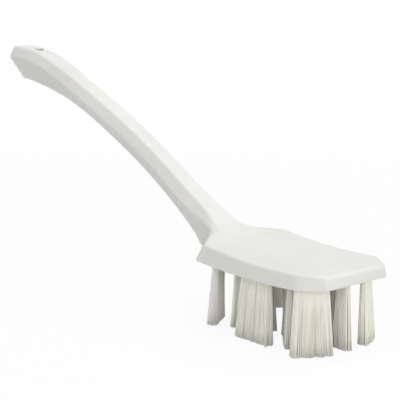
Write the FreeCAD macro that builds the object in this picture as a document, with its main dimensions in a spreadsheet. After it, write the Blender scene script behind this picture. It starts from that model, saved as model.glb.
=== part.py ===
import FreeCAD, Part
import math
import os
import Sketcher

# Long-handled scrub brush in millimetres. X runs from the handle towards the front of the head,
# Y to the left and Z up. The bristle tips stand on Z = 0 and X = 0 is the middle of the head.
doc = FreeCAD.newDocument("scrub_brush")
dims = doc.addObject("Spreadsheet::Sheet", "dims")

driving_dimensions = [
    # Head, seen from above, measured at its lower rim
    ("head_length", 116.0),
    ("head_width", 84.6),
    ("front_width", 58.0),
    ("front_chamfer_length", 17.2),
    ("shoulder_angle", 52.0),
    ("shoulder_radius", 26.0),
    # Head, seen from the side: the plate is bowed, so each height has three stations
    ("bristle_length", 45.9),
    ("rim_rise_rear", 2.7),
    ("rim_rise_corner", 1.3),
    ("rim_rise_front", 1.8),
    ("plate_thickness", 11.0),
    ("top_rise_rear", 4.5),
    ("top_rise_corner", 0.6),
    ("top_rise_front", -0.5),
    ("bow_low_point", 10.0),
    ("side_draft", 2.4),
    ("front_draft", 2.1),
    ("rear_draft", 6.6),
    # Handle sections from the neck to the end: step back, step up, width of the top facet, depth
    ("neck_back", 44.6),
    ("neck_up", 21.4),
    ("neck_width", 14.7),
    ("neck_depth", 21.5),
    ("fore_back", 39.0),
    ("fore_up", 22.5),
    ("fore_width", 13.4),
    ("fore_depth", 17.6),
    ("waist_back", 60.0),
    ("waist_up", 31.0),
    ("waist_width", 13.7),
    ("waist_depth", 16.9),
    ("grip_back", 64.0),
    ("grip_up", 27.7),
    ("grip_width", 14.8),
    ("grip_depth", 19.8),
    ("rear_back", 45.0),
    ("rear_up", 15.5),
    ("rear_width", 17.3),
    ("rear_depth", 26.0),
    ("end_back", 34.2),
    ("end_up", 3.6),
    ("end_width", 18.6),
    ("end_depth", 27.4),
    ("end_undercut", 13.7),
    # Facets of the handle: the side ridge lies this far below and outside the top facet
    ("facet_drop", 9.2),
    ("facet_lean", 4.6),
    ("lower_draw", 0.3),
    # Neck, where the handle's facets run out into the head
    ("ridge_rise_neck", 7.8),
    ("ridge_rise_arc", 4.6),
    ("ridge_rise_shoulder", 1.6),
    ("crown_rise_neck", 16.0),
    ("crown_rise_arc", 9.8),
    ("crown_rise_shoulder", 5.0),
    ("crown_width_neck", 15.9),
    ("crown_width_arc", 17.8),
    ("crown_width_shoulder", 24.0),
    ("crown_width_head", 44.0),
    ("crown_margin_front", 7.0),
    ("skirt_back_neck", 9.6),
    ("skirt_back_arc", 14.8),
    ("skirt_back_shoulder", 15.3),
    ("skirt_in_neck", 3.7),
    ("skirt_in_arc", 4.5),
    ("skirt_in_shoulder", 4.6),
    ("heel_rise_neck", 6.1),
    ("heel_rise_arc", 1.8),
    ("heel_rise_shoulder", 0.2),
    # Roundings of the moulding: how far each reaches along the faces from its sharp corner
    ("crown_round", 1.9),
    ("ridge_round", 1.5),
    ("keel_round", 1.4),
    ("corner_round", 2.6),
    ("end_round", 2.2),
    ("front_round", 2.6),
    ("inner_round", 0.7),
    # Hanging hole
    ("hole_diameter", 7.6),
    ("hole_setback", 27.0),
    # Bristle packs: bundles of filaments with a melted foot, moulded into the head
    ("pack_width", 4.6),
    ("pack_flare", 1.7),
    ("outer_lean", 2.5),
    ("outer_tip_rise", 0.2),
    ("heel_tip_rise", 2.5),
    ("root_depth", 4.6),
    ("foot_thickness", 2.0),
    ("foot_rim", 0.8),
    ("seat_clearance", 0.1),
    # Layout of the packs: setbacks from the front rim, margins from the side rims, angles from X
    ("front_pack_length", 11.0),
    ("front_pack_setback", 13.1),
    ("front_pair_length", 24.8),
    ("front_pair_bend", 42.0),
    ("front_pair_setback", 15.7),
    ("front_pair_margin", 15.1),
    ("front_pair_angle", 59.0),
    ("fore_pair_length", 20.0),
    ("fore_pair_setback", 42.5),
    ("fore_pair_margin", 21.3),
    ("fore_pair_angle", -42.0),
    ("side_pair_length", 28.7),
    ("side_pair_setback", 64.2),
    ("side_pair_margin", 10.9),
    ("centre_pack_length", 17.0),
    ("centre_pack_setback", 58.0),
    ("aft_pair_length", 28.5),
    ("aft_pair_setback", 79.2),
    ("aft_pair_margin", 23.1),
    ("aft_pair_angle", 32.0),
    ("rear_pair_length", 21.7),
    ("rear_pair_setback", 109.3),
    ("rear_pair_margin", 16.7),
    ("rear_pair_angle", -57.0),
]
for row, (alias, value) in enumerate(driving_dimensions, start=1):
    dims.set("A%d" % row, alias)
    dims.set("B%d" % row, str(value))
    dims.setAlias("B%d" % row, alias)
doc.recompute()


def size(alias):
    return float(dims.get(alias))


def point(x, y, z):
    return FreeCAD.Vector(x, y, z)


# Blank of the moulding: a hexagonal section with rounded corners, drawn along three pairs of ridges


def handle_stations():
    # Top facet of each handle section, from the neck back to the end, as x, half width, z and depth
    x = size("head_length") / -2 + size("rear_draft")
    z = head_top("top_rise_rear")
    stations = []
    for name in ("neck", "fore", "waist", "grip", "rear", "end"):
        x -= size(name + "_back")
        z += size(name + "_up")
        stations.append((x, size(name + "_width") / 2, z, size(name + "_depth")))
    return stations


def underside(rise):
    return size("bristle_length") + size(rise)


def head_top(rise):
    return size("bristle_length") + size("plate_thickness") + size(rise)


def shoulder_arc():
    # Plan of the arc that leads from the neck into the straight shoulder
    half_width = size("head_width") / 2 - size("side_draft")
    neck_half = size("neck_width") / 2 + size("facet_lean")
    turn = math.radians(size("shoulder_angle"))
    radius = size("shoulder_radius")
    corner_x = size("head_length") / -2 + size("rear_draft")
    meet_x = corner_x - (half_width - neck_half) / math.tan(turn)
    start_x = meet_x - radius * math.tan(turn / 2)
    plan = []
    for angle in (0.0, turn / 2, turn):
        plan.append((start_x + radius * math.sin(angle), neck_half + radius * (1 - math.cos(angle))))
    return plan


def handle_ridges():
    # Three ridges on the left side, each from the end of the handle to the shoulder
    crown, ridge, keel = [], [], []
    stations = handle_stations()
    drop, lean, draw = size("facet_drop"), size("facet_lean"), size("lower_draw")
    for index, (x, half, z, depth) in enumerate(stations):
        ridge_half = half + lean
        if index == len(stations) - 1:
            crown.append(point(x, half, z))
            ridge.append(point(x, ridge_half, z - drop))
            keel.append(point(x + size("end_undercut"), ridge_half - draw * (depth - drop), z - depth))
            continue
        ahead = stations[index - 1] if index else (x + size("neck_back"), half, z - size("neck_up"))
        behind = stations[index + 1]
        tilt = math.atan2(behind[2] - ahead[2], ahead[0] - behind[0])
        down = point(-math.sin(tilt), 0, -math.cos(tilt))
        crown.append(point(x, half, z))
        ridge.append(point(x, ridge_half, z) + down * drop)
        keel.append(point(x, ridge_half - draw * (depth - drop), z) + down * depth)
    for line in (crown, ridge, keel):
        line.reverse()

    base = head_top("top_rise_rear")
    rim_rear = underside("rim_rise_rear")
    for (x, y), place in zip(shoulder_arc(), ("neck", "arc", "shoulder")):
        crown.append(point(x, size("crown_width_" + place) / 2, base + size("crown_rise_" + place)))
        ridge.append(point(x, y, base + size("ridge_rise_" + place)))
        keel.append(point(x - size("skirt_back_" + place), y - size("skirt_in_" + place),
                          rim_rear + size("heel_rise_" + place)))
    return crown, ridge, keel


def head_ridges():
    # The same three ridges along the head: rear corner, low point, front corner and front edge
    front_x = size("head_length") / 2
    rear_x = size("head_length") / -2
    corner_x = front_x - size("front_chamfer_length")
    low_x = size("bow_low_point")
    half, draft = size("head_width") / 2, size("side_draft")
    front_half = size("front_width") / 2
    tops = [
        (rear_x + size("rear_draft"), half - draft, head_top("top_rise_rear")),
        (low_x, half - draft, size("bristle_length") + size("plate_thickness")),
        (corner_x - draft / 2, half - draft, head_top("top_rise_corner")),
        (front_x - size("front_draft"), front_half, head_top("top_rise_front")),
    ]
    rims = [
        (rear_x, half, underside("rim_rise_rear")),
        (low_x, half, size("bristle_length")),
        (corner_x, half, underside("rim_rise_corner")),
        (front_x, front_half, underside("rim_rise_front")),
    ]
    crown = [point(x, size("crown_width_head") / 2, z) for x, y, z in tops]
    crown[-1].y = front_half - size("crown_margin_front")
    return crown, [point(*top) for top in tops], [point(*rim) for rim in rims]


def other_side(points):
    return [point(p.x, -p.y, p.z) for p in points]


def towards(start, goal, distance):
    return start + (goal - start).normalize() * distance


def set_back(section, neighbour, distance):
    # The section moved along its ridges towards a neighbouring one
    return [towards(corner, goal, distance) for corner, goal in zip(section, neighbour)]


def front_inset(section):
    # Corners of the flat that is left on the front once its edges are rounded
    crown, ridge, keel = section
    down = (keel - ridge).normalize() * size("front_round")
    side = point(0, size("front_round"), 0)
    return [crown + down, ridge + down - side, keel - down - side]


def end_inset(section):
    # The same on the end of the handle, which is folded at the ridge
    crown, ridge, keel = section
    reach = size("end_round")
    side = point(0, reach, 0)
    slope = point(ridge.x - keel.x, 0, ridge.z - keel.z).normalize() * reach
    return [crown - side - point(0, 0, reach), ridge - side, keel - side + slope]


def poles_across(section, reaches):
    # Left half of a section from top to bottom, with three poles to round off each corner
    crown, keel = section[0], section[-1]
    ring = other_side([crown]) + list(section) + other_side([keel])
    poles = []
    for before, corner, after, reach in zip(ring, ring[1:], ring[2:], reaches):
        poles += [towards(corner, before, reach), corner, towards(corner, after, reach)]
    return poles


# Runs of those poles: crown rounding, upper facet, ridge rounding, lower facet and keel rounding
crown_run, upper_run, ridge_run, lower_run, keel_run = runs = ((0, 2), (2, 3), (3, 5), (5, 6), (6, 8))


def smooth_line(points, spans):
    # Curve through the points; a long one has its last stretch kept straight
    last = len(points) - 1
    along = (points[last] - points[last - 1]) / (spans[last] - spans[last - 1])
    held = [last > 2 and index >= last - 1 for index in range(len(points))]
    curve = Part.BSplineCurve()
    curve.interpolate(Points=points, Parameters=spans, Tangents=[along] * len(points), TangentFlags=held)
    return curve


def sheet(lines, degree, knots, mults):
    # Face on lines of poles: two lines make a facet, three make a rounding
    across = len(lines) - 1
    surface = Part.BSplineSurface()
    surface.buildFromPolesMultsKnots(lines, [across + 1] * 2, mults, [0.0, 1.0], knots, False, False,
                                     across, degree)
    return surface.toShape()


def stretch(rows, smooth=False):
    # All faces round one stretch of the blank, from the poles of its sections in turn
    lines = [list(line) for line in zip(*rows)]
    form = (len(rows) - 1, [0.0, 1.0], [len(rows)] * 2)
    if smooth:
        spans = [0.0]
        ridge = lines[len(lines) // 2]
        for first, second in zip(ridge, ridge[1:]):
            spans.append(spans[-1] + (second - first).Length)
        curves = [smooth_line(line, spans) for line in lines]
        lines = [curve.getPoles() for curve in curves]
        form = (curves[0].Degree, curves[0].getKnots(), curves[0].getMultiplicities())
    mirrored = [other_side(line) for line in lines]
    faces = []
    for first, last in runs:
        faces.append(sheet(lines[first:last + 1], *form))
        faces.append(sheet(mirrored[first:last + 1], *form))
    for outer in (0, -1):
        faces.append(sheet([lines[outer], mirrored[outer]], *form))
    return faces


def bent_edge(poles):
    curve = Part.BezierCurve()
    curve.setPoles(poles)
    return curve.toShape()


def flat_face(poles, parts):
    # Flat face between some runs of poles and their mirror images
    edges = []
    for first, last in parts:
        run = poles[first:last + 1]
        edges += [bent_edge(run), bent_edge(other_side(run))]
    for outer in (poles[parts[0][0]], poles[parts[-1][1]]):
        edges.append(bent_edge([outer] + other_side([outer])))
    return Part.Face(Part.Wire(Part.__sortEdges__(edges)))


def folded_face(poles, run):
    # Rounded fold between a run of poles and its mirror image
    line = poles[run[0]:run[1] + 1]
    return sheet([line, other_side(line)], len(line) - 1, [0.0, 1.0], [len(line)] * 2)


def moulding_blank():
    handle = list(zip(*handle_ridges()))
    rear, low, corner, front = zip(*head_ridges())
    end, corner_reach = handle[0], size("corner_round")
    reaches = [size("crown_round"), size("ridge_round"), size("keel_round")]

    def row(section):
        return poles_across(section, reaches)

    def bend(before, section, after, before_reach, after_reach):
        return [row(set_back(section, before, before_reach)), row(section),
                row(set_back(section, after, after_reach))]

    end_row = poles_across(end_inset(end), [size("inner_round")] * 3)
    front_row = poles_across(front_inset(front), [size("inner_round")] * 3)
    end_bend = [end_row, row(end), row(set_back(end, handle[1], size("end_round")))]
    rear_bend = bend(handle[-1], rear, low, corner_reach, corner_reach)
    corner_bend = bend(low, corner, front, corner_reach, corner_reach)
    front_bend = [row(set_back(front, corner, size("front_round"))), row(front), front_row]
    faces = stretch(end_bend)
    faces += stretch([end_bend[-1]] + [row(section) for section in handle[1:]] + [rear_bend[0]], smooth=True)
    faces += stretch(rear_bend)
    faces += stretch([rear_bend[-1], row(low), corner_bend[0]], smooth=True)
    faces += stretch(corner_bend)
    faces += stretch([corner_bend[-1], front_bend[0]])
    faces += stretch(front_bend)
    faces.append(flat_face(end_row, (crown_run, upper_run)))
    faces.append(folded_face(end_row, ridge_run))
    faces.append(flat_face(end_row, (lower_run, keel_run)))
    faces.append(flat_face(front_row, runs))
    shell = Part.Compound(faces)
    shell.sewShape()
    return Part.makeSolid(Part.Shell(shell.Faces))


blank = doc.addObject("Part::Feature", "moulding_blank")
blank.Shape = moulding_blank()


# Hanging hole through the end of the handle
hole = doc.addObject("Part::Cylinder", "hanging_hole")
hole.setExpression("Radius", "dims.hole_diameter / 2")
hole.setExpression("Height", "dims.bristle_length + dims.plate_thickness + dims.top_rise_rear + dims.neck_up"
                   " + dims.fore_up + dims.waist_up + dims.grip_up + dims.rear_up + dims.end_up")
hole.setExpression("Placement.Base.x", "-dims.head_length / 2 + dims.rear_draft - dims.neck_back"
                   " - dims.fore_back - dims.waist_back - dims.grip_back - dims.rear_back - dims.end_back"
                   " + dims.hole_setback")


# Bristle packs, and the seats that they leave in the head


def straight_outline(sketch, length, grow):
    # Two straight sides joined by half circles
    radius = size("pack_width") / 2
    reach = size(length) / 2 - radius
    up, quarter = point(0, 0, 1), math.pi / 2
    sketch.addGeometry(Part.LineSegment(point(-reach, radius, 0), point(reach, radius, 0)))
    sketch.addGeometry(Part.ArcOfCircle(Part.Circle(point(reach, 0, 0), up, radius), -quarter, quarter))
    sketch.addGeometry(Part.LineSegment(point(reach, -radius, 0), point(-reach, -radius, 0)))
    sketch.addGeometry(Part.ArcOfCircle(Part.Circle(point(-reach, 0, 0), up, radius), quarter, 3 * quarter))
    for first, first_end, second, second_end in ((0, 2, 1, 2), (1, 1, 2, 1), (2, 2, 3, 2), (3, 1, 0, 1)):
        sketch.addConstraint(Sketcher.Constraint("Tangent", first, first_end, second, second_end))
    sketch.addConstraint(Sketcher.Constraint("Equal", 1, 3))
    sketch.addConstraint(Sketcher.Constraint("Horizontal", 0))
    sketch.addConstraint(Sketcher.Constraint("Symmetric", 1, 3, 3, 3, -1, 1))
    drive(sketch, "radius", Sketcher.Constraint("Radius", 1, radius), "dims.pack_width / 2 + " + grow)
    drive(sketch, "span", Sketcher.Constraint("DistanceX", 3, 3, 1, 3, 2 * reach),
          "dims.%s - dims.pack_width" % length)


def bent_outline(sketch, length, bend, grow):
    # The same bent round a centre on the inner side, so that the pack bulges outwards
    radius, middle = size("pack_width") / 2, size(bend)
    reach = size(length) / 2 - radius
    up, quarter = point(0, 0, 1), math.pi / 2
    half = math.asin(reach / middle)
    rise = middle * (1 - math.cos(half))
    centre = point(0, middle, 0)
    outer = Part.Circle(centre, up, middle + radius)
    inner = Part.Circle(centre, up, middle - radius)
    right_cap = Part.Circle(point(reach, rise, 0), up, radius)
    left_cap = Part.Circle(point(-reach, rise, 0), up, radius)
    sketch.addGeometry(Part.ArcOfCircle(outer, -quarter - half, half - quarter))
    sketch.addGeometry(Part.ArcOfCircle(right_cap, half - quarter, half + quarter))
    sketch.addGeometry(Part.ArcOfCircle(inner, -quarter - half, half - quarter))
    sketch.addGeometry(Part.ArcOfCircle(left_cap, quarter - half, 3 * quarter - half))
    for first, first_end, second, second_end in ((0, 2, 1, 1), (1, 2, 2, 2), (2, 1, 3, 1), (3, 2, 0, 1)):
        sketch.addConstraint(Sketcher.Constraint("Tangent", first, first_end, second, second_end))
    sketch.addConstraint(Sketcher.Constraint("Coincident", 0, 3, 2, 3))
    sketch.addConstraint(Sketcher.Constraint("PointOnObject", 0, 3, -2))
    sketch.addConstraint(Sketcher.Constraint("Horizontal", 3, 3, 1, 3))
    drive(sketch, "bend", Sketcher.Constraint("DistanceY", -1, 1, 0, 3, middle), "dims." + bend)
    drive(sketch, "outer", Sketcher.Constraint("Radius", 0, middle + radius),
          "dims.%s + dims.pack_width / 2 + %s" % (bend, grow))
    drive(sketch, "radius", Sketcher.Constraint("Radius", 1, radius), "dims.pack_width / 2 + " + grow)
    drive(sketch, "span", Sketcher.Constraint("DistanceX", 3, 3, 1, 3, 2 * reach),
          "dims.%s - dims.pack_width" % length)


def drive(sketch, name, constraint, expression):
    index = sketch.addConstraint(constraint)
    sketch.renameConstraint(index, name)
    sketch.setExpression("Constraints." + name, expression)


def pack_outline(body, name, form, grow, height):
    # Outline of a pack, grown by an amount all round, at a height above the root
    sketch = body.newObject("Sketcher::SketchObject", name)
    plane = [item for item in body.Origin.OriginFeatures if item.Role == "XY_Plane"][0]
    sketch.AttachmentSupport = [(plane, "")]
    sketch.MapMode = "FlatFace"
    sketch.setExpression("AttachmentOffset.Base.z", height)
    length, bend = form
    if bend is None:
        straight_outline(sketch, length, grow)
    else:
        bent_outline(sketch, length, bend, grow)
    return sketch


def add_prism(body, name, form, grow, bottom, height):
    outline = pack_outline(body, name + "_outline", form, grow, bottom)
    pad = body.newObject("PartDesign::Pad", name)
    pad.Profile = outline
    pad.setExpression("Length", height)
    return pad


def place(body, x, y, angle, lean):
    # The middle of the root lies at the underside, and the pack leans about its own length
    where = "vector(%s; %s; dims.bristle_length)" % (x, y)
    body.setExpression("Placement", "placement(%s; rotation(%s; 0; %s))" % (where, angle, lean))


def bristle_pack(name, form, tip_rise):
    # Tips spread from the root outline, the root passes through the underside and ends in the foot
    body = doc.addObject("PartDesign::Body", name)
    tips = pack_outline(body, name + "_tips", form, "dims.pack_flare", tip_rise + " - dims.bristle_length")
    root = pack_outline(body, name + "_root", form, "0", "0")
    spread = body.newObject("PartDesign::AdditiveLoft", name + "_filaments")
    spread.Profile = tips
    spread.Sections = [root]
    spread.Ruled = True
    add_prism(body, name + "_neck", form, "0", "0", "dims.root_depth")
    add_prism(body, name + "_foot", form, "dims.foot_rim", "dims.root_depth", "dims.foot_thickness")
    return body


def pack_seat(name, form):
    # The same root and foot with the clearance all round; it starts below the rim so that it always opens
    body = doc.addObject("PartDesign::Body", name)
    add_prism(body, name + "_neck", form, "dims.seat_clearance", "-1 * dims.foot_thickness",
              "dims.root_depth + dims.foot_thickness")
    add_prism(body, name + "_foot", form, "dims.foot_rim + dims.seat_clearance",
              "dims.root_depth - dims.seat_clearance", "dims.foot_thickness + 2 * dims.seat_clearance")
    return body


# Form, place, angle, lean and tip rise of each pack; the outer packs lean outwards on both sides
front = "dims.head_length / 2 - dims."
beside = "dims.head_width / 2 - dims."
upright, leaning = "0", "-1 * dims.outer_lean"
flat_tips, outer_tips, heel_tips = "0", "dims.outer_tip_rise", "dims.heel_tip_rise"
pairs = [
    ("front", "front_pair_bend", "dims.front_pair_angle", leaning, outer_tips),
    ("fore", None, "dims.fore_pair_angle", upright, flat_tips),
    ("side", None, "0", leaning, outer_tips),
    ("aft", None, "dims.aft_pair_angle", upright, heel_tips),
    ("rear", None, "dims.rear_pair_angle", leaning, heel_tips),
]
layout = [
    ("front", ("front_pack_length", None), front + "front_pack_setback", "0", "0", upright, flat_tips),
    ("centre", ("centre_pack_length", None), front + "centre_pack_setback", "0", "90", upright, flat_tips),
]
for name, bend, angle, lean, tips in pairs:
    form = (name + "_pair_length", bend)
    x = front + name + "_pair_setback"
    y = beside + name + "_pair_margin"
    layout.append((name + "_left", form, x, y, "180 - (%s)" % angle, lean, tips))
    layout.append((name + "_right", form, x, "-1 * (%s)" % y, angle, lean, tips))

packs, cutters = [], [hole]
for name, form, x, y, angle, lean, tips in layout:
    packs.append(bristle_pack(name + "_bristle_pack", form, tips))
    cutters.append(pack_seat(name + "_seat", form))
    place(packs[-1], x, y, angle, lean)
    place(cutters[-1], x, y, angle, lean)
doc.recompute()

cuts = doc.addObject("Part::Compound", "hole_and_seats")
cuts.Links = cutters
moulding = doc.addObject("Part::Cut", "handle_and_head")
moulding.Base = blank
moulding.Tool = cuts
doc.recompute()

# Check every object, then write one file for each piece
for item in doc.Objects:
    if "Invalid" in item.State or "Error" in item.State:
        raise RuntimeError("failed to build: " + item.Label)
pieces = [moulding] + packs
for piece in pieces:
    if piece.Shape.isNull() or not piece.Shape.isValid() or len(piece.Shape.Solids) != 1:
        raise RuntimeError("bad shape: " + piece.Label)
os.makedirs("parts", exist_ok=True)
for piece in pieces:
    piece.Shape.exportStep("parts/%s.step" % piece.Label)
    print(piece.Label, "volume", round(piece.Shape.Volume), "mm3")
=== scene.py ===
import bpy
import math
import random
from mathutils import Matrix, Vector, noise


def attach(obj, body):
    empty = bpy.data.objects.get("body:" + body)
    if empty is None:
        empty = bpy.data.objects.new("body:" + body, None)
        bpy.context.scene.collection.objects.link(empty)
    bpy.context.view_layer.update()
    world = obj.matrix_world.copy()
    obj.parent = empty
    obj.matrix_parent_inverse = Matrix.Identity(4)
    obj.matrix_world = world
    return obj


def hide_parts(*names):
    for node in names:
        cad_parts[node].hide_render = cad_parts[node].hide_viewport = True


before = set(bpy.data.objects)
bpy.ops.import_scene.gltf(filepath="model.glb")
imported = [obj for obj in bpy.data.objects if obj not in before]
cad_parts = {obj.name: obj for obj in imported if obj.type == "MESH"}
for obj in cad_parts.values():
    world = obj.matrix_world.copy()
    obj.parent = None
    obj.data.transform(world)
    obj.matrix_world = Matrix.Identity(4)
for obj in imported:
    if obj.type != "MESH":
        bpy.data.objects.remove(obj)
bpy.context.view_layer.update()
scene = bpy.context.scene
mm = 0.001  # sizes below are in millimetres, Blender works in metres
print("frame loaded:", len(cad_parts), "nodes")


def hexToLinear(code):
    # sRGB hex to the linear colour that the shaders take
    channels = [int(code[i:i + 2], 16) / 255 for i in (1, 3, 5)]
    return (*[c / 12.92 if c <= 0.04045 else ((c + 0.055) / 1.055) ** 2.4 for c in channels], 1.0)


def addNode(tree, kind, inputs=None, **settings):
    # One node with its settings; an input is either a value or the socket that feeds it
    node = tree.nodes.new(kind)
    for name, value in settings.items():
        setattr(node, name, value)
    for socket, value in (inputs or {}).items():
        if isinstance(value, bpy.types.NodeSocket):
            tree.links.new(value, node.inputs[socket])
        else:
            node.inputs[socket].default_value = value
    return node


def newMaterial(name):
    material = bpy.data.materials.new(name)
    material.use_nodes = True
    material.node_tree.nodes.clear()
    return material, material.node_tree


def twoTone(tree, share, low, high, lowAt, highAt):
    # Ramp between two sRGB colours
    ramp = addNode(tree, "ShaderNodeValToRGB", {"Fac": share})
    for element, code, position in zip(ramp.color_ramp.elements, (low, high), (lowAt, highAt)):
        element.position = position
        element.color = hexToLinear(code)
    return ramp.outputs["Color"]


# Moulded handle and head
moulding = {
    "colour": "#e7e6e2",
    "flowColour": "#e3e2dd",
    "flowSize": 60.0,       # slow change of tone where the melt flowed
    "flowDetail": 2.0,
    "flowFrom": 0.35,       # levels of the flow's noise at which the two colours stand
    "flowTo": 0.65,
    "grainSize": 0.7,       # eroded tool texture, about twice as coarse as a real one so that it shows
    "grainDetail": 3.0,
    "grainDepth": 0.012,
    "grainStrength": 0.35,
    "roughness": 0.42,
    "ior": 1.49,
    "specular": 0.2,        # the eroded texture breaks up part of the reflection
}


def mouldedPolypropylene(spec):
    # White polypropylene from an eroded steel tool: milky, half matt, with a soft highlight
    material, tree = newMaterial("mouldedPolypropylene")
    place = addNode(tree, "ShaderNodeTexCoord").outputs["Object"]
    flow = addNode(tree, "ShaderNodeTexNoise", {
        "Vector": place, "Scale": 1 / (spec["flowSize"] * mm), "Detail": spec["flowDetail"],
    })
    grain = addNode(tree, "ShaderNodeTexNoise", {
        "Vector": place, "Scale": 1 / (spec["grainSize"] * mm), "Detail": spec["grainDetail"],
    })
    bump = addNode(tree, "ShaderNodeBump", {
        "Height": grain.outputs["Fac"], "Strength": spec["grainStrength"],
        "Distance": spec["grainDepth"] * mm,
    })
    colour = twoTone(tree, flow.outputs["Fac"], spec["flowColour"], spec["colour"],
                     spec["flowFrom"], spec["flowTo"])
    shader = addNode(tree, "ShaderNodeBsdfPrincipled", {
        "Base Color": colour,
        "Roughness": spec["roughness"], "IOR": spec["ior"], "Specular IOR Level": spec["specular"],
        "Normal": bump.outputs["Normal"],
    })
    addNode(tree, "ShaderNodeOutputMaterial", {"Surface": shader.outputs["BSDF"]})
    return material


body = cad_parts["handle_and_head"]
body.data.materials.clear()
body.data.materials.append(mouldedPolypropylene(moulding))
print("moulding dressed")

# Bristle packs: each is a bundle of single filaments, melted together into a foot at the top
filament = {
    "colour": "#fefefa",
    "deepColour": "#fcf9e7",
    "seeThrough": 0.1,      # share of the light that passes into the filament and out of its far side
    "diameter": 0.62,
    "spacing": 0.5,
    "jitter": 0.05,
    "sides": 6,
    "rings": 5,
    "roughness": 0.38,
    "ior": 1.57,
    "toneMiddle": 0.55,     # tone 0 is the deep colour, 1 the pale one
    "toneByLock": 0.55,
    "toneScatter": 0.16,
    "footTone": 0.5,
}
pack = {
    "freeLength": 45.9,     # from the tips to the underside of the head
    "width": 4.6,
    "flare": 1.7,           # the tips spread this far beyond the root outline
    "endFlare": 1.0,        # and this much further at the two ends of the pack
    "rootDepth": 4.6,
    "footThickness": 2.0,
    "footRim": 0.8,
    "lean": 2.5,            # degrees, outwards
    "heelRise": 2.5,
    "lockSize": 2.4,        # filaments stick together in locks about this wide
    "lockWander": 0.9,      # how fast the edges of the locks wander
    "lockNoise": (3.1, 2.7, 0.5),   # steps in the noise along and across, and its level
    "toneShift": (7.3, 1.9, 4.1),   # a place in the noise where tone and length don't go together
    "lockPull": 0.18,
    "raggedLock": 0.8,
    "raggedTip": 0.4,
    "leastRise": 0.05,      # no tip reaches lower than this
    "tipScatter": 0.2,
    "bow": 0.12,
    "strayShare": 0.006,
    "strayReach": 1.6,
}
middlePacks = [
    # name, x, length, turn
    ("front", 44.9, 11.0, 0.0),
    ("centre", 0.0, 17.0, 90.0),
]
pairedPacks = [
    # name, x, distance from the middle, length, bend radius, turn of the right pack, leans, clear of the flat
    ("front", 42.3, 27.2, 24.8, 42.0, 59.0, True, False),
    ("fore", 15.5, 21.0, 20.0, None, -42.0, False, False),
    ("side", -6.2, 31.4, 28.7, None, 0.0, True, False),
    ("aft", -21.2, 19.2, 28.5, None, 32.0, False, True),
    ("rear", -51.3, 25.6, 21.7, None, -57.0, True, True),
]


def polyesterFilament(spec):
    # Ivory polyester monofilament: drawn smooth and pale, so a bundle glows warm in its own shade
    material, tree = newMaterial("polyesterFilament")
    tone = addNode(tree, "ShaderNodeAttribute", attribute_name="tone")
    colour = twoTone(tree, tone.outputs["Fac"], spec["deepColour"], spec["colour"], 0.0, 1.0)
    skin = addNode(tree, "ShaderNodeBsdfPrincipled", {
        "Base Color": colour, "Roughness": spec["roughness"], "IOR": spec["ior"],
    })
    inside = addNode(tree, "ShaderNodeBsdfTranslucent", {"Color": colour})
    mixed = addNode(tree, "ShaderNodeMixShader", {
        0: spec["seeThrough"], 1: skin.outputs["BSDF"], 2: inside.outputs["BSDF"],
    })
    addNode(tree, "ShaderNodeOutputMaterial", {"Surface": mixed.outputs[0]})
    return material


filamentMaterial = polyesterFilament(filament)


def bent(u, v, radius):
    # Point of a straight pack carried over to a pack that bulges outwards
    if radius is None:
        return u, v
    angle = u / radius
    return (radius - v) * math.sin(angle), radius - (radius - v) * math.cos(angle)


def footOutline(reach, radius, bend, steps=10):
    # Half circles at both ends, joined along the sides in short steps so that the outline can bend
    outline = []
    for sign in (1, -1):
        for step in range(steps + 1):
            angle = math.pi * (step / steps - 0.5)
            outline.append((sign * (reach + radius * math.cos(angle)), sign * radius * math.sin(angle)))
        for step in range(1, steps):
            outline.append((sign * reach * (1 - 2 * step / steps), sign * radius))
    return [bent(u, v, bend) for u, v in outline]


def rootGrid(reach, radius, draw):
    # Close-packed roots inside the outline of the pack, in its own axes
    step, jitter = filament["spacing"], filament["jitter"]
    limit = radius - filament["diameter"] / 2
    rowStep = step * math.sqrt(3) / 2
    rows = int(limit / rowStep) + 1
    columns = int((reach + limit) / step) + 2
    roots = []
    for row in range(-rows, rows + 1):
        for column in range(-columns, columns + 1):
            u = (column + 0.5 * (row % 2)) * step + draw.uniform(-jitter, jitter)
            v = row * rowStep + draw.uniform(-jitter, jitter)
            past = max(abs(u) - reach, 0.0)
            if past * past + v * v < limit * limit:
                roots.append((u, v))
    return roots


def addTube(rings, verts, faces):
    # Skin through rings of points, closed at both ends
    first, sides = len(verts), len(rings[0])
    for ring in rings:
        verts.extend(ring)
    for index in range(len(rings) - 1):
        base = first + index * sides
        for side in range(sides):
            after = (side + 1) % sides
            faces.append((base + side, base + sides + side, base + sides + after, base + after))
    last = first + (len(rings) - 1) * sides
    faces.append(tuple(range(first, first + sides)))
    faces.append(tuple(range(last + sides - 1, last - 1, -1)))


def filamentRings(path):
    width, sides = filament["diameter"] / 2, filament["sides"]
    turns = [2 * math.pi * side / sides for side in range(sides)]
    return [[(x + width * math.cos(a), y + width * math.sin(a), z) for a in turns] for x, y, z in path]


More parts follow.
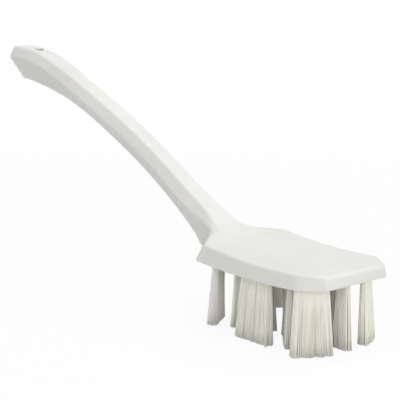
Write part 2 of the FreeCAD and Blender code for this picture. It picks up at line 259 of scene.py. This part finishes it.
def bristlePack(name, x, y, length, bend, turn, lean, tipRise, seed):
    node = name + "_bristle_pack"
    draw = random.Random(seed)
    radius = pack["width"] / 2
    reach = length / 2 - radius
    spreadU = (reach + radius + pack["flare"] + pack["endFlare"]) / (reach + radius)
    spreadV = (radius + pack["flare"]) / radius
    stepU, stepV, level = pack["lockNoise"]
    verts, faces, tones = [], [], []
    roots = rootGrid(reach, radius, draw)
    for u, v in roots:
        wander = noise.noise(Vector((u * pack["lockWander"], v * pack["lockWander"], seed)))
        wander = wander * pack["lockSize"] / 2
        lockU = round((u + wander) / pack["lockSize"]) * pack["lockSize"]
        lockV = round((v + wander) / pack["lockSize"]) * pack["lockSize"]
        lock = Vector((lockU * stepU + seed, lockV * stepV, level))
        lockRise = (noise.noise(lock) + 0.5) * pack["raggedLock"]
        lockTone = noise.noise(lock + Vector(pack["toneShift"]))
        tipU = (u + (lockU - u) * pack["lockPull"]) * spreadU + draw.gauss(0, pack["tipScatter"])
        tipV = (v + (lockV - v) * pack["lockPull"]) * spreadV + draw.gauss(0, pack["tipScatter"])
        if draw.random() < pack["strayShare"]:
            tipU += draw.choice((-1, 1)) * pack["strayReach"]
        rise = tipRise + max(pack["leastRise"], lockRise + abs(draw.gauss(0, pack["raggedTip"])))
        bow = draw.gauss(0, pack["bow"])
        path = [(*bent(u, v, bend), pack["rootDepth"])]
        for ring in range(filament["rings"]):
            t = ring / (filament["rings"] - 1)
            sway = bow * math.sin(math.pi * t)
            place = bent(u + (tipU - u) * t + sway, v + (tipV - v) * t + sway, bend)
            path.append((*place, (rise - pack["freeLength"]) * t))
        addTube(filamentRings(path), verts, faces)
        tone = filament["toneMiddle"] + filament["toneByLock"] * lockTone
        tone = min(max(tone + draw.gauss(0, filament["toneScatter"]), 0.0), 1.0)
        tones += [tone] * (len(verts) - len(tones))
    outline = footOutline(reach, radius + pack["footRim"], bend)
    heights = (pack["rootDepth"] + pack["footThickness"], pack["rootDepth"])
    addTube([[(u, v, height) for u, v in outline] for height in heights], verts, faces)
    tones += [filament["footTone"]] * (len(verts) - len(tones))
    mesh = bpy.data.meshes.new(node)
    mesh.from_pydata(verts, [], faces)
    mesh.polygons.foreach_set("use_smooth", [len(face) == 4 for face in faces])  # caps stay flat
    mesh.attributes.new("tone", "FLOAT", "POINT").data.foreach_set("value", tones)
    stand = Matrix.Translation((x, y, pack["freeLength"]))
    heading = Matrix.Rotation(math.radians(turn), 4, "Z") @ Matrix.Rotation(math.radians(-lean), 4, "X")
    mesh.transform(Matrix.Scale(mm, 4) @ stand @ heading)
    mesh.materials.append(filamentMaterial)
    piece = bpy.data.objects.new(node + "_filaments", mesh)
    scene.collection.objects.link(piece)
    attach(piece, "root")
    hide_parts(node)
    return len(roots)


count = 0
for seed, (name, x, length, turn) in enumerate(middlePacks, start=1):
    count += bristlePack(name, x, 0.0, length, None, turn, 0.0, 0.0, seed)
for index, (name, x, apart, length, bend, turn, leans, clear) in enumerate(pairedPacks):
    rise = pack["heelRise"] if clear else 0.0
    lean = pack["lean"] if leans else 0.0
    count += bristlePack(name + "_left", x, apart, length, bend, 180 - turn, lean, rise, 2 * index + 3)
    count += bristlePack(name + "_right", x, -apart, length, bend, turn, lean, rise, 2 * index + 4)
print("bristle packs made:", count, "filaments")

# Floor, lamps and camera
studio = {
    "floorSize": 24.0,      # metres, so that its edge lies outside the picture
    "floorColour": "#f4f4f4",
    "shadowShare": 0.08,    # share of the shaded paper that the eye sees right under the brush
    "shadowRadius": 1.2,    # metres, beyond which the floor is plain white
    "aim": (-0.12, 0.0, 0.09),      # metres, the point that the lamps face
    "lampDistance": 1.6,
    "lampSize": 0.9,
}
lamps = [
    # name, direction from the brush, watts
    ("frontRight", (0.7, -0.7, 0.5), 8.4),
    ("backRight", (-0.6, -0.7, 0.5), 4.3),
    ("lowFront", (0.9, -0.45, 0.25), 2.4),
    ("lowLeft", (0.95, 0.4, 0.25), 5.6),
    ("top", (0.0, 0.0, 1.0), 13.0),
    ("topLeft", (0.1, 0.6, 0.8), 7.9),
]


def directView(tree):
    # 1 for rays that show the background itself, 0 for light that falls on the brush
    paths = addNode(tree, "ShaderNodeLightPath").outputs
    seen = paths["Is Camera Ray"]
    for kind in ("Is Glossy Ray", "Is Transmission Ray"):
        seen = addNode(tree, "ShaderNodeMath", {0: seen, 1: paths[kind]}, operation="MAXIMUM").outputs[0]
    return seen


def seamlessPaper(spec):
    # Seamless white paper: plain white to the eye with a trace of the shadow, a soft bounce to the brush
    material, tree = newMaterial("seamlessPaper")
    paper = addNode(tree, "ShaderNodeBsdfDiffuse", {"Color": hexToLinear(spec["floorColour"])})
    white = addNode(tree, "ShaderNodeEmission", {"Strength": 1.0})
    place = addNode(tree, "ShaderNodeTexCoord").outputs["Object"]
    reach = addNode(tree, "ShaderNodeVectorMath", {0: place}, operation="LENGTH")
    plain = addNode(tree, "ShaderNodeMapRange", {
        "Value": reach.outputs["Value"], "From Min": 0.0, "From Max": spec["shadowRadius"],
        "To Min": 1 - spec["shadowShare"], "To Max": 1.0,
    })
    share = addNode(tree, "ShaderNodeMath", {0: plain.outputs[0], 1: directView(tree)}, operation="MULTIPLY")
    mixed = addNode(tree, "ShaderNodeMixShader", {
        0: share.outputs[0], 1: paper.outputs[0], 2: white.outputs[0],
    })
    addNode(tree, "ShaderNodeOutputMaterial", {"Surface": mixed.outputs[0]})
    return material


def buildStudio(spec):
    half = spec["floorSize"] / 2
    mesh = bpy.data.meshes.new("floor")
    corners = [(-half, -half, 0), (half, -half, 0), (half, half, 0), (-half, half, 0)]
    mesh.from_pydata(corners, [], [(0, 1, 2, 3)])
    mesh.materials.append(seamlessPaper(spec))
    floor = bpy.data.objects.new("floor", mesh)
    scene.collection.objects.link(floor)
    scene.world = bpy.data.worlds.new("studio")
    scene.world.use_nodes = True
    tree = scene.world.node_tree
    tree.nodes.clear()
    white = addNode(tree, "ShaderNodeBackground", {"Color": (1, 1, 1, 1), "Strength": directView(tree)})
    addNode(tree, "ShaderNodeOutputWorld", {"Surface": white.outputs[0]})
    aim = Vector(spec["aim"])
    for name, direction, watts in lamps:
        light = bpy.data.lights.new(name, "AREA")
        light.size = spec["lampSize"]
        light.energy = watts
        lamp = bpy.data.objects.new(name, light)
        lamp.location = aim + Vector(direction).normalized() * spec["lampDistance"]
        lamp.rotation_euler = (aim - lamp.location).to_track_quat("-Z", "Y").to_euler()
        scene.collection.objects.link(lamp)


view = {
    "at": (584.1, -600.7, 261.1),   # millimetres
    "azimuth": 48.764,      # degrees, as are the next two
    "elevation": 11.193,
    "roll": 0.241,
    "lens": 111.36,
    "sensor": 36.0,
    "nearest": 0.05,        # metres
}


def addCamera(spec):
    camera = bpy.data.cameras.new("camera")
    camera.lens = spec["lens"]
    camera.sensor_width = spec["sensor"]
    camera.clip_start = spec["nearest"]
    eye = bpy.data.objects.new("camera", camera)
    turn = Matrix.Rotation(math.radians(spec["azimuth"]), 4, "Z")
    tilt = Matrix.Rotation(math.radians(90 - spec["elevation"]), 4, "X")
    roll = Matrix.Rotation(math.radians(spec["roll"]), 4, "Z")
    eye.matrix_world = Matrix.Translation(Vector(spec["at"]) * mm) @ turn @ tilt @ roll
    scene.collection.objects.link(eye)
    scene.camera = eye


buildStudio(studio)
addCamera(view)
scene.view_settings.view_transform = "Standard"
print("studio and camera set")
